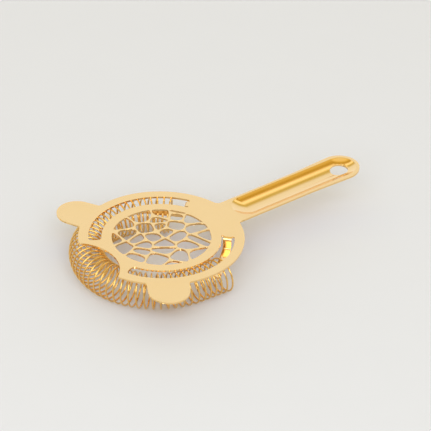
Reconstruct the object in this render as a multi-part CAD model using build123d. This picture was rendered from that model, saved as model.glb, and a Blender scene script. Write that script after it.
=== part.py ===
from build123d import *
import math
import os
import random

# A cocktail strainer: one pressed sheet of plated steel, with a coil spring held under its round plate.
# All sizes are in millimetres. The row frame has +X along the handle, +Z up, and its origin under the middle
# of the whole strainer, on the surface that the spring rests on. The sheet is drawn about the plate's centre,
# with its underside at z = 0, and is moved into the row frame at the end.

# Sheet
SHEET = 1.0                     # thickness
PLATE_R = 44.0                  # round plate
SCREEN_R = 27.4                 # border between the plate and the pierced screen

# Curved slots, one on each side
SLOT_INNER_R = 31.7
SLOT_OUTER_R = 38.7
SLOT_FRONT = 152.2              # degrees from the handle, where the slot's rounded end lies
SLOT_FRONT_FILLET = 2.0

# Notch at the front edge
NOTCH_R = 24.4
NOTCH_FLOOR = 31.1              # distance from the plate's centre to the notch's deepest point
NOTCH_CORNER = 1.5

# Ears
EAR_ANGLE = 119.4
EAR_REACH = 61.2
EAR_ROOT_HALF = 11.2
EAR_TIP_R = 11.0
EAR_FILLET = 1.5
EARS_START_X = 36.0             # the ears lie behind this distance from the plate's centre, the notch ahead

# Handle
HANDLE_HALF = 10.2
HANDLE_END_HALF = 11.2          # the handle flares a little to its round end
HANDLE_END_X = 116.0            # centre of the round end, and of the hang hole
FLARE_START_X = 93.0
ROOT_FILLET = 3.0
HANG_HOLE_R = 4.9
BEND_X = 46.2                   # here the handle bends up a little
BEND_ANGLE = 2.95

# Trough pressed into the handle
TROUGH_START_X = 55.8           # centres of the trough's two round ends
TROUGH_END_X = 116.6
TROUGH_HALF = 8.8
TROUGH_DEPTH = 2.3
TROUGH_LIP = 0.9                # radius where the flat rolls into the trough

# Tongues, folded down from the slots' ends to hold the spring
FOLD_R = 35.1                   # the fold's place, from the plate's centre
FOLD_ANGLE = 32.2
TONGUE_HEADING = 136.5          # direction of the folded strip, in degrees from the handle
TONGUE_WIDTH = 4.4
TONGUE_DROP = 6.7               # from the plate's top face to the strip's top face
TONGUE_RUN = 29.0
TONGUE_BEND_R = 0.9             # inside radius of both bends
TONGUE_TIP_R = 1.8
RELIEF_R = 0.55                 # small round relief at each end of a fold

# Pierced screen
SCREEN_OPEN_R = 26.4
WEB = 0.85                      # narrowest metal between two openings
SITES = 30                      # number of openings
SITE_JITTER = 0.42              # how far an opening's centre is shaken, as a share of the mean spacing
SITE_SEED = 6
RIM_SIDES = 40                  # straight sides that stand for the screen's round rim

# Coil spring. Its centre line is an arc round the front, with one straight leg on the right.
WIRE = 0.95
COIL_OD = 19.5
RING_X = -1.8                   # centre of the arc, from the plate's centre
RING_Y = 2.9
RING_R = 36.2
ARC_START = 41.7                # degrees from the handle, at the left end
ARC_END = 270.0
LEG = 19.7                      # straight leg from the arc's right end
TURNS = 48
FIRST_TURN = 0.4                # where in its turn the wire starts, as a share of a turn
SPANS = 10                      # nodes that the wire is divided into
COIL_GAP = 0.25                 # clearance between the coil and the sheet's underside
POINTS_PER_SPAN = 77
COIL_HAND = -1                  # 1 or -1: which way the turns lean
FRONT_SPANS = (4, 5, 6)         # spans that move together when the front is pressed
FRONT_CUT = 0.03                # length left free between the front spans and their neighbours
ARC_LENGTH = RING_R * math.radians(ARC_END - ARC_START)
COIL_LENGTH = ARC_LENGTH + LEG

# Placement of the sheet in the row frame
UNDERSIDE_Z = COIL_OD + COIL_GAP
HANDLE_REACH = BEND_X + (HANDLE_END_X + HANDLE_END_HALF - BEND_X) * math.cos(math.radians(BEND_ANGLE))
SPRING_REACH = RING_R + COIL_OD / 2 - RING_X
PLATE_CENTRE_X = (SPRING_REACH - HANDLE_REACH) / 2
IN_ROW = Pos(PLATE_CENTRE_X, 0, UNDERSIDE_Z)

# Working lengths
TOUCH = 0.01                    # points closer than this count as one
STEP = 0.001                    # short step along the wire, for its direction


def polar(radius, angle):
    """A point at a radius and an angle in degrees from the handle."""
    return radius * math.cos(math.radians(angle)), radius * math.sin(math.radians(angle))


def fold_line(side):
    """The frame of a tongue's fold: x along the strip, y across it. side is 1 on the left, -1 on the right."""
    x, y = polar(FOLD_R, side * FOLD_ANGLE)
    return Location((x, y, 0), (0, 0, side * TONGUE_HEADING))


def slot(side):
    """One curved slot, from its straight end at the fold to its rounded end at the front."""
    band = Circle(SLOT_OUTER_R) - Circle(SLOT_INNER_R)
    front = Rot(0, 0, side * SLOT_FRONT) * Pos(0, side * PLATE_R) * Rectangle(2 * PLATE_R, 2 * PLATE_R)
    other_half = Pos(0, -side * PLATE_R) * Rectangle(2 * PLATE_R, 2 * PLATE_R)
    behind_fold = fold_line(side) * Pos(-PLATE_R, 0) * Rectangle(2 * PLATE_R, 2 * PLATE_R)
    arc = band - front - other_half - behind_fold
    corners = arc.vertices().sort_by(Axis.X)[0:2]
    arc = fillet(corners, SLOT_FRONT_FILLET)
    for edge in (-1, 1):
        arc += fold_line(side) * Pos(0, edge * (TONGUE_WIDTH / 2 + RELIEF_R)) * Circle(RELIEF_R)
    return arc


def strainer_plate():
    """The round plate, with its slots and the notch that shows the spring."""
    outline = blank_outline() & Circle(PLATE_R)
    outline -= Circle(SCREEN_R)
    for side in (-1, 1):
        outline -= slot(side)
    return extrude(outline, SHEET)


def clip(polygon, px, py, nx, ny):
    """The part of a convex polygon behind the line through (px, py) with the outward normal (nx, ny)."""
    kept = []
    for (ax, ay), (bx, by) in zip(polygon, polygon[1:] + polygon[:1]):
        a = (ax - px) * nx + (ay - py) * ny
        b = (bx - px) * nx + (by - py) * ny
        if a <= 0:
            kept.append((ax, ay))
        if a * b < 0:
            t = a / (a - b)
            kept.append((ax + t * (bx - ax), ay + t * (by - ay)))
    return kept


def screen_sites():
    """The openings' centres: an even spiral, shaken so that the net looks grown rather than drawn."""
    shake = random.Random(SITE_SEED)
    golden = 180 * (3 - math.sqrt(5))
    spacing = SCREEN_OPEN_R / math.sqrt(SITES)
    sites = []
    for k in range(SITES):
        x, y = polar(spacing * math.sqrt(k + 0.5), k * golden)
        dx = shake.uniform(-1, 1) * SITE_JITTER * 2 * spacing
        dy = shake.uniform(-1, 1) * SITE_JITTER * 2 * spacing
        sites.append((x + dx, y + dy))
    return sites


def opening(site, sites):
    """One rounded opening: the site's own cell, less half a web all round, drawn as a smooth closed curve."""
    cell = [polar(SCREEN_OPEN_R, 360 * k / RIM_SIDES) for k in range(RIM_SIDES)]
    for other in sites:
        if other == site:
            continue
        dx = other[0] - site[0]
        dy = other[1] - site[1]
        gap = math.hypot(dx, dy)
        nx, ny = dx / gap, dy / gap
        px = (site[0] + other[0]) / 2 - nx * WEB / 2
        py = (site[1] + other[1]) / 2 - ny * WEB / 2
        cell = clip(cell, px, py, nx, ny)
    curves = []
    count = len(cell)
    for k in range(count):
        before, corner, after = cell[k - 1], cell[k], cell[(k + 1) % count]
        start = ((before[0] + corner[0]) / 2, (before[1] + corner[1]) / 2)
        end = ((corner[0] + after[0]) / 2, (corner[1] + after[1]) / 2)
        curves.append(Bezier(start, corner, end))
    return make_face(Wire(curves))


def lattice_screen():
    """The pierced middle of the plate."""
    net = Circle(SCREEN_R)
    sites = screen_sites()
    for site in sites:
        net -= opening(site, sites)
    return extrude(net, SHEET)


def blank_outline():
    """The blank's outer edge: the round plate with its notch, both ears and the handle, with rounded corners."""
    blank = Circle(PLATE_R) + handle_blank()
    for side in (-1, 1):
        blank += Rot(0, 0, side * EAR_ANGLE) * ear_blank()
    blank -= Pos(-NOTCH_FLOOR - NOTCH_R, 0) * Circle(NOTCH_R)
    edges = ((NOTCH_CORNER, -PLATE_R, -EARS_START_X), (EAR_FILLET, -EARS_START_X, 0), (ROOT_FILLET, 0, PLATE_R))
    for radius, low, high in edges:
        blank = fillet([v for v in rim_corners(blank) if low < v.X < high], radius)
    return blank


def rim_corners(outline):
    """The corners of an outline that lie on the round plate's edge."""
    return [v for v in outline.vertices() if abs(math.hypot(v.X, v.Y) - PLATE_R) < TOUCH]


def ear_blank():
    """A tab along +X that narrows a little and ends in a round."""
    root = Pos(PLATE_R - EAR_ROOT_HALF / 2, 0) * Rectangle(EAR_ROOT_HALF, 2 * EAR_ROOT_HALF)
    tip = Pos(EAR_REACH - EAR_TIP_R, 0) * Circle(EAR_TIP_R)
    return make_hull([*root.edges(), *tip.edges()])


def handle_blank():
    """The handle's flat outline, which flares a little towards its round end."""
    straight = Pos(FLARE_START_X / 2, 0) * Rectangle(FLARE_START_X, 2 * HANDLE_HALF)
    end = Pos(HANDLE_END_X, 0) * Circle(HANDLE_END_HALF)
    across = Line((FLARE_START_X, -HANDLE_HALF), (FLARE_START_X, HANDLE_HALF))
    return straight + make_hull([*across.edges(), *end.edges()])


def beyond_plate(angle):
    """The part of the blank outside the round plate in one direction: an ear or the handle."""
    pieces = (blank_outline() - Circle(PLATE_R)).faces()
    return min(pieces, key=lambda f: (f.center() - Vector(*polar(PLATE_R, angle), 0)).length)


def ear(side):
    """A rounded tab that rests on the rim of the tin."""
    return extrude(beyond_plate(side * EAR_ANGLE), SHEET)


def trough(radius, centre_z):
    """A long round-ended form whose underside is the trough's hollow."""
    length = TROUGH_END_X - TROUGH_START_X
    middle = (TROUGH_END_X + TROUGH_START_X) / 2
    form = Pos(middle, 0, centre_z) * Rot(0, 90, 0) * Cylinder(radius, length)
    for x in (TROUGH_START_X, TROUGH_END_X):
        form += Pos(x, 0, centre_z) * Sphere(radius)
    return form


def handle():
    """The handle, with a trough pressed along it and a hole to hang it by, bent up a little past its root."""
    radius = (TROUGH_HALF**2 + TROUGH_DEPTH**2) / (2 * TROUGH_DEPTH)
    centre_z = SHEET - TROUGH_DEPTH + radius
    underside = split(trough(radius + SHEET, centre_z), Plane.XY.offset(SHEET / 2), keep=Keep.BOTTOM)
    solid = extrude(beyond_plate(0), SHEET) + underside - trough(radius, centre_z)
    top = solid.faces().filter_by(Axis.Z).sort_by(Axis.Z)[-1]
    solid = fillet(top.inner_wires()[0].edges(), TROUGH_LIP)
    solid -= Pos(HANDLE_END_X, 0) * Cylinder(HANG_HOLE_R, 8 * TROUGH_DEPTH)
    root = split(solid, Plane.YZ.offset(BEND_X), keep=Keep.BOTTOM)
    grip = split(solid, Plane.YZ.offset(BEND_X), keep=Keep.TOP)
    return root + Pos(BEND_X, 0) * Rot(0, -BEND_ANGLE, 0) * Pos(-BEND_X, 0) * grip


def tongue(side):
    """A strip folded down from the slot's end and then level, so that the coil's end can be pushed over it."""
    centre = SHEET / 2
    bend = TONGUE_BEND_R + SHEET / 2
    route = FilletPolyline(
        (0, 0, centre),
        (bend + TOUCH, 0, centre),
        (bend + TOUCH, 0, centre - TONGUE_DROP),
        (TONGUE_RUN, 0, centre - TONGUE_DROP),
        radius=bend,
    )
    section = Plane(origin=(0, 0, centre), x_dir=(0, 1, 0), z_dir=(1, 0, 0)) * Rectangle(TONGUE_WIDTH, SHEET)
    strip = sweep(section, path=route)
    tip = strip.edges().filter_by(Axis.Z).sort_by(Axis.X)[-2:]
    return fold_line(side) * fillet(tip, TONGUE_TIP_R)


def centre_line(along):
    """The coil's centre line at a length from its left end: the point, and the outward direction in degrees."""
    angle = min(ARC_START + math.degrees(along / RING_R), ARC_END)
    x, y = polar(RING_R, angle)
    return RING_X + x + max(along - ARC_LENGTH, 0), RING_Y + y, angle


def wire_point(along):
    """A point on the wire's own centre line."""
    x, y, outward = centre_line(along)
    turn = COIL_HAND * 2 * math.pi * (TURNS * along / COIL_LENGTH + FIRST_TURN)
    coil_r = (COIL_OD - WIRE) / 2
    dx, dy = polar(coil_r * math.cos(turn), outward)
    return Vector(x + dx, y + dy, coil_r * math.sin(turn) - COIL_GAP - COIL_OD / 2)


def wire_direction(along):
    """The wire's direction."""
    return (wire_point(along + STEP) - wire_point(along - STEP)).normalized()


def spring_span(index):
    """A few turns of the coil spring. The front spans stop just short of their neighbours."""
    start = COIL_LENGTH * index / SPANS
    end = COIL_LENGTH * (index + 1) / SPANS
    if (index in FRONT_SPANS) != (index - 1 in FRONT_SPANS):
        start += FRONT_CUT / 2
    if (index in FRONT_SPANS) != (index + 1 in FRONT_SPANS):
        end -= FRONT_CUT / 2
    step = (end - start) / POINTS_PER_SPAN
    points = [wire_point(start + k * step) for k in range(POINTS_PER_SPAN + 1)]
    ends = (wire_direction(start), wire_direction(end))
    route = Spline(*points, tangents=ends, tangent_scalars=(1.0, 1.0))
    section = Plane(origin=points[0], z_dir=ends[0]) * Circle(WIRE / 2)
    return sweep(section, path=route)


def write(name, solid):
    """One node: the solid, moved into the row frame."""
    export_step(IN_ROW * solid, f"parts/{name}.step")


os.makedirs("parts", exist_ok=True)
write("strainer_plate", strainer_plate())
write("lattice_screen", lattice_screen())
write("handle", handle())
for side, name in ((1, "left"), (-1, "right")):
    write(f"ear_{name}", ear(side))
    write(f"tongue_{name}", tongue(side))
for index in range(SPANS):
    write(f"spring_span_{index + 1:02d}", spring_span(index))
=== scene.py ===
import math

import bmesh
import bpy
from mathutils import Matrix, Vector


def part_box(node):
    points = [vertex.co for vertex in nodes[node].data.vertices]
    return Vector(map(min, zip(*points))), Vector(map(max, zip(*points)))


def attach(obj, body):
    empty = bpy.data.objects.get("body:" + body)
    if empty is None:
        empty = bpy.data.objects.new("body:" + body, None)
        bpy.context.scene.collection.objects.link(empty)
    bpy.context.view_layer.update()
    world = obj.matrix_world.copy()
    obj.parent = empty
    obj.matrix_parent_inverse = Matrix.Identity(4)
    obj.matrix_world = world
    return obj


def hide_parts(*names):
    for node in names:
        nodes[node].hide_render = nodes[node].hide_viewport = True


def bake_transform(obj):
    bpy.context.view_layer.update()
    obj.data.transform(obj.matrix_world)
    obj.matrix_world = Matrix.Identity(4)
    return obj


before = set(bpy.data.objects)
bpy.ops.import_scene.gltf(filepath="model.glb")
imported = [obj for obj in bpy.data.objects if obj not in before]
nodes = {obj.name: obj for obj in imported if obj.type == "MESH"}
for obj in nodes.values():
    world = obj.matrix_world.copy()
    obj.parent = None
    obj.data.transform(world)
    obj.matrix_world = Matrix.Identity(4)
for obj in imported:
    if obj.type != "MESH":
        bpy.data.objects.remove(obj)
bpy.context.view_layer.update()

MM = 0.001

# ---------------------------------------------------------------- the strainer's own measures, in metres

PLATE_LOW, PLATE_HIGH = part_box("strainer_plate")
SCREEN_LOW, SCREEN_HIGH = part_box("lattice_screen")
CENTRE_X = (SCREEN_LOW.x + SCREEN_HIGH.x) / 2          # the round plate's centre
TOP_Z = PLATE_HIGH.z
UNDERSIDE_Z = PLATE_LOW.z
SHEET_NODES = (
    "strainer_plate", "lattice_screen", "handle", "ear_left", "ear_right", "tongue_left", "tongue_right",
)
SPRING_NODES = tuple(sorted(n for n in nodes if n.startswith("spring_span")))

# the coil, as in the CAD model: an arc round the front, then one straight leg
WIRE = 0.95 * MM
COIL_OD = 19.5 * MM
COIL_GAP = 0.25 * MM
RING_X = CENTRE_X - 1.8 * MM
RING_Y = 2.9 * MM
RING_R = 36.2 * MM
ARC_START = 41.7                                       # degrees from the handle
ARC_END = 270.0
ARC_LENGTH = RING_R * math.radians(ARC_END - ARC_START)
LEG = 19.7 * MM
TURNS = 48
FIRST_TURN = 0.4                                       # where in its turn the wire starts
COIL_HAND = -1
STEPS_PER_TURN = 28
WIRE_SIDES = 12


# ---------------------------------------------------------------- node helpers

def new_material(name):
    material = bpy.data.materials.new(name)
    material.use_nodes = True
    tree = material.node_tree
    shader = tree.nodes["Principled BSDF"]
    return material, tree, shader


def add(tree, kind, **values):
    node = tree.nodes.new(kind)
    for key, value in values.items():
        setattr(node, key, value)
    return node


def link(tree, source, output, target, socket):
    tree.links.new(source.outputs[output], target.inputs[socket])


def scaled_coordinates(tree, scale):
    """Object coordinates stretched by a scale, so that noise can run along one direction."""
    coordinates = add(tree, "ShaderNodeTexCoord")
    mapping = add(tree, "ShaderNodeMapping")
    mapping.inputs["Scale"].default_value = scale
    link(tree, coordinates, "Object", mapping, "Vector")
    return mapping


def noise(tree, scale, detail, stretch=(1, 1, 1)):
    texture = add(tree, "ShaderNodeTexNoise")
    texture.inputs["Scale"].default_value = scale
    texture.inputs["Detail"].default_value = detail
    link(tree, scaled_coordinates(tree, stretch), "Vector", texture, "Vector")
    return texture


def ranged(tree, source, output, low, high):
    """A value from 0 to 1 spread over a new range."""
    node = add(tree, "ShaderNodeMapRange")
    node.inputs["To Min"].default_value = low
    node.inputs["To Max"].default_value = high
    link(tree, source, output, node, "Value")
    return node


# ---------------------------------------------------------------- materials

def gold_sheet():
    """Plated sheet with a fine satin grain along the handle, faint clouding, and a few soft rub marks."""
    material, tree, shader = new_material("gold_sheet")
    shader.inputs["Metallic"].default_value = 1.0
    cloud = noise(tree, 45, 3)
    tint = add(tree, "ShaderNodeMix", data_type="RGBA")
    tint.inputs[6].default_value = (0.92, 0.61, 0.25, 1)
    tint.inputs[7].default_value = (0.94, 0.64, 0.29, 1)
    link(tree, cloud, "Fac", tint, 0)
    tree.links.new(tint.outputs[2], shader.inputs["Base Color"])
    grain = noise(tree, 900, 4, (0.06, 1, 1))
    rubs = noise(tree, 120, 5, (0.5, 1, 1))
    rough = add(tree, "ShaderNodeMath", operation="ADD")
    link(tree, ranged(tree, grain, "Fac", 0.07, 0.13), "Result", rough, 0)
    link(tree, ranged(tree, rubs, "Fac", 0.0, 0.05), "Result", rough, 1)
    link(tree, rough, "Value", shader, "Roughness")
    bump = add(tree, "ShaderNodeBump")
    bump.inputs["Strength"].default_value = 0.06
    bump.inputs["Distance"].default_value = 0.05 * MM
    link(tree, grain, "Fac", bump, "Height")
    link(tree, bump, "Normal", shader, "Normal")
    return material


def gold_wire():
    """Plated spring wire: a deeper, smoother gold than the sheet, with fine drawing marks."""
    material, tree, shader = new_material("gold_wire")
    shader.inputs["Metallic"].default_value = 1.0
    cloud = noise(tree, 160, 3)
    tint = add(tree, "ShaderNodeMix", data_type="RGBA")
    tint.inputs[6].default_value = (0.84, 0.50, 0.13, 1)
    tint.inputs[7].default_value = (0.92, 0.61, 0.21, 1)
    link(tree, cloud, "Fac", tint, 0)
    tree.links.new(tint.outputs[2], shader.inputs["Base Color"])
    marks = noise(tree, 1400, 3)
    link(tree, ranged(tree, marks, "Fac", 0.04, 0.14), "Result", shader, "Roughness")
    return material


def pale_floor():
    material, tree, shader = new_material("pale_floor")
    shader.inputs["Roughness"].default_value = 0.9
    shader.inputs["Specular IOR Level"].default_value = 0.1
    speckle = noise(tree, 40, 2)
    tint = add(tree, "ShaderNodeMix", data_type="RGBA")
    tint.inputs[6].default_value = (0.77, 0.78, 0.86, 1)
    tint.inputs[7].default_value = (0.78, 0.79, 0.87, 1)
    link(tree, speckle, "Fac", tint, 0)
    tree.links.new(tint.outputs[2], shader.inputs["Base Color"])
    return material


# ---------------------------------------------------------------- the sheet, as one piece

CORNER_WELD = 0.0002 * MM                              # joins the corners that a CAD mesh splits
JOINT_WELD = 0.001 * MM                                # joins what the unions leave almost touching
SHEET_BEVEL = 0.14 * MM
BEVEL_ANGLE = math.radians(40)
FLAT_ANGLE = math.radians(0.4)
BEND_X = CENTRE_X + 46.2 * MM                          # the handle bends up a little here
BEND_HALF = 2.0 * MM                                   # the bend is shaded as a soft curve this far each way
SMOOTH_ANGLE = math.radians(32)


def welded_copy(node, name):
    """A CAD node's shape as a new object, with its split corners joined."""
    mesh = nodes[node].data.copy()
    edit = bmesh.new()
    edit.from_mesh(mesh)
    bmesh.ops.remove_doubles(edit, verts=edit.verts, dist=CORNER_WELD)
    edit.to_mesh(mesh)
    edit.free()
    copy = bpy.data.objects.new(name, mesh)
    bpy.context.scene.collection.objects.link(copy)
    return copy


def evaluated_mesh(piece):
    graph = bpy.context.evaluated_depsgraph_get()
    return bpy.data.meshes.new_from_object(piece.evaluated_get(graph))


def strainer_sheet():
    """The plate, screen, ears, handle and tongues are one stamped sheet, so their nodes are joined into one mesh."""
    sheet = welded_copy(SHEET_NODES[0], "strainer_sheet")
    others = [welded_copy(n, "joining_" + n) for n in SHEET_NODES[1:]]
    for other in others:
        union = sheet.modifiers.new(other.name, "BOOLEAN")
        union.operation = "UNION"
        union.solver = "EXACT"
        union.object = other
    joined = evaluated_mesh(sheet)
    sheet.modifiers.clear()
    sheet.data = joined
    for other in others:
        bpy.data.objects.remove(other)
    edit = bmesh.new()
    edit.from_mesh(joined)
    bmesh.ops.remove_doubles(edit, verts=edit.verts, dist=JOINT_WELD)
    bmesh.ops.dissolve_limit(edit, angle_limit=FLAT_ANGLE, verts=edit.verts, edges=edit.edges)
    for x in (BEND_X - BEND_HALF, BEND_X + BEND_HALF):
        everything = edit.verts[:] + edit.edges[:] + edit.faces[:]
        bmesh.ops.bisect_plane(edit, geom=everything, plane_co=(x, 0, 0), plane_no=(1, 0, 0))
    edit.to_mesh(joined)
    edit.free()
    bevel = sheet.modifiers.new("rounded_edges", "BEVEL")
    bevel.width = SHEET_BEVEL
    bevel.segments = 2
    bevel.limit_method = "ANGLE"
    bevel.angle_limit = BEVEL_ANGLE
    sheet.data = evaluated_mesh(sheet)
    sheet.modifiers.clear()
    smooth_by_angle(sheet.data, SMOOTH_ANGLE)
    normals = sheet.modifiers.new("flat_faces_stay_flat", "WEIGHTED_NORMAL")
    normals.weight = 100
    normals.keep_sharp = True
    sheet.data = evaluated_mesh(sheet)
    sheet.modifiers.clear()
    return sheet


def smooth_by_angle(mesh, angle):
    mesh.polygons.foreach_set("use_smooth", [True] * len(mesh.polygons))
    mesh.set_sharp_from_angle(angle=angle)


# ---------------------------------------------------------------- the coil spring

def wire_point(along):
    """A point on the wire's centre line, at a length along the coil from its left end."""
    outward = math.radians(min(ARC_START + math.degrees(along / RING_R), ARC_END))
    turn = COIL_HAND * 2 * math.pi * (TURNS * along / (ARC_LENGTH + LEG) + FIRST_TURN)
    coil_r = (COIL_OD - WIRE) / 2
    radius = RING_R + coil_r * math.cos(turn)
    x = RING_X + radius * math.cos(outward) + max(along - ARC_LENGTH, 0)
    y = RING_Y + radius * math.sin(outward)
    return Vector((x, y, UNDERSIDE_Z - COIL_GAP - COIL_OD / 2 + coil_r * math.sin(turn)))


def coil_spring():
    """One wire along the whole coil."""
    count = TURNS * STEPS_PER_TURN
    points = [wire_point((ARC_LENGTH + LEG) * k / count) for k in range(count + 1)]
    edit = bmesh.new()
    rings = []
    across = None
    for k, point in enumerate(points):
        along = (points[min(k + 1, count)] - points[max(k - 1, 0)]).normalized()
        if across is None:
            across = along.orthogonal()
        across = (across - along * across.dot(along)).normalized()
        third = along.cross(across)
        ring = []
        for side in range(WIRE_SIDES):
            spin = 2 * math.pi * side / WIRE_SIDES
            offset = across * math.cos(spin) + third * math.sin(spin)
            ring.append(edit.verts.new(point + offset * WIRE / 2))
        rings.append(ring)
    for a, b in zip(rings, rings[1:]):
        for side in range(WIRE_SIDES):
            following = (side + 1) % WIRE_SIDES
            edit.faces.new((a[side], a[following], b[following], b[side]))
    edit.faces.new(list(reversed(rings[0])))
    edit.faces.new(rings[-1])
    mesh = bpy.data.meshes.new("coil_spring")
    edit.to_mesh(mesh)
    edit.free()
    spring = bpy.data.objects.new("coil_spring", mesh)
    bpy.context.scene.collection.objects.link(spring)
    return spring


# ---------------------------------------------------------------- building the object

sheet = strainer_sheet()
sheet.data.materials.clear()
sheet.data.materials.append(gold_sheet())
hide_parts(*SHEET_NODES)
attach(sheet, "strainer")

spring = coil_spring()
smooth_by_angle(spring.data, SMOOTH_ANGLE)
spring.data.materials.append(gold_wire())
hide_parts(*SPRING_NODES)
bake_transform(spring)

# ---------------------------------------------------------------- floor, light and camera

FLOOR_HALF = 6.0
SENSOR_WIDTH = 36
CLIP = (0.1, 30)

floor_mesh = bpy.data.meshes.new("floor")
floor_mesh.from_pydata(
    [(x * FLOOR_HALF, y * FLOOR_HALF, 0) for x, y in ((-1, -1), (1, -1), (1, 1), (-1, 1))], [], [(0, 1, 2, 3)]
)
floor = bpy.data.objects.new("floor", floor_mesh)
bpy.context.scene.collection.objects.link(floor)
floor_mesh.materials.append(pale_floor())


FAR_SIDE = math.radians(54.5)   # from the camera over the plate, turned from the handle
VAULT_STRENGTH = 1.5
HALF_CIRCLE = 180               # degrees, from the far horizon over the top to the near one


def studio_world():
    """A vault of long soft strips across the view, from the far horizon over the top to behind the camera."""
    world = bpy.data.worlds.new("studio")
    world.use_nodes = True
    bpy.context.scene.world = world
    tree = world.node_tree
    background = tree.nodes["Background"]
    coordinates = add(tree, "ShaderNodeTexCoord")
    split = add(tree, "ShaderNodeSeparateXYZ")
    link(tree, coordinates, "Generated", split, "Vector")
    toward = add(tree, "ShaderNodeVectorMath", operation="DOT_PRODUCT")
    toward.inputs[1].default_value = (math.cos(FAR_SIDE), math.sin(FAR_SIDE), 0)
    link(tree, coordinates, "Generated", toward, 0)
    angle = add(tree, "ShaderNodeMath", operation="ARCTAN2")
    link(tree, split, "Z", angle, 0)
    link(tree, toward, "Value", angle, 1)
    share = add(tree, "ShaderNodeMath", operation="DIVIDE")
    share.inputs[1].default_value = math.pi
    link(tree, angle, "Value", share, 0)
    ramp = add(tree, "ShaderNodeValToRGB")
    link(tree, share, "Value", ramp, "Fac")
    strips = (                  # degrees up from the far horizon, and the light's colour there
        (0, (0.68, 0.73, 0.82)),
        (38, (0.64, 0.69, 0.78)),
        (47, (0.44, 0.38, 0.13)),
        (52, (0.44, 0.38, 0.13)),
        (58, (0.90, 0.84, 0.66)),
        (62, (0.90, 0.84, 0.66)),
        (67, (0.40, 0.27, 0.04)),
        (73, (0.40, 0.27, 0.04)),
        (80, (0.66, 0.54, 0.22)),
        (100, (0.60, 0.62, 0.60)),
        (120, (0.38, 0.37, 0.33)),
    )
    elements = ramp.color_ramp.elements
    elements.remove(elements[1])
    elements[0].color = (*strips[0][1], 1)
    for degrees, colour in strips[1:]:
        elements.new(degrees / HALF_CIRCLE).color = (*colour, 1)
    link(tree, ramp, "Color", background, "Color")
    background.inputs["Strength"].default_value = VAULT_STRENGTH


studio_world()


def area_light(name, bearing, height, distance, size, power, colour):
    """A soft panel that faces the strainer. bearing is in degrees from the handle, height above the horizon."""
    data = bpy.data.lights.new(name, "AREA")
    data.shape = "RECTANGLE"
    data.size, data.size_y = size
    data.energy = power
    data.color = colour
    light = bpy.data.objects.new(name, data)
    b, h = math.radians(bearing), math.radians(height)
    back = Vector((math.cos(b) * math.cos(h), math.sin(b) * math.cos(h), math.sin(h)))
    light.location = back * distance
    light.rotation_mode = "QUATERNION"
    light.rotation_quaternion = back.to_track_quat("Z", "Y")
    bpy.context.scene.collection.objects.link(light)


area_light("front_panel", -125, 40, 3.0, (3.0, 2.0), 50, (0.86, 0.93, 1.0))

CAMERA_BEARING = -35.5          # 0 looks along the left ear's side, +Y
CAMERA_HEIGHT = 33.411
CAMERA_ROLL = 1.52
CAMERA_DISTANCE = 2.018
CAMERA_LENS = 316.6
AIM_X = 35.6 * MM               # the view's middle, from the plate's centre
AIM_Y = 1.37 * MM

camera_data = bpy.data.cameras.new("camera")
camera_data.lens = CAMERA_LENS
camera_data.sensor_width = SENSOR_WIDTH
camera_data.clip_start, camera_data.clip_end = CLIP
camera = bpy.data.objects.new("camera", camera_data)
bpy.context.scene.collection.objects.link(camera)
b, h = math.radians(CAMERA_BEARING), math.radians(CAMERA_HEIGHT)
back = Vector((math.sin(b) * math.cos(h), -math.cos(b) * math.cos(h), math.sin(h)))
camera.location = Vector((CENTRE_X + AIM_X, AIM_Y, TOP_Z)) + back * CAMERA_DISTANCE
facing = back.to_track_quat("Z", "Y").to_matrix().to_4x4()
camera.rotation_euler = (facing @ Matrix.Rotation(math.radians(CAMERA_ROLL), 4, "Z")).to_euler()
bpy.context.scene.camera = camera
bpy.context.scene.view_settings.view_transform = "Standard"
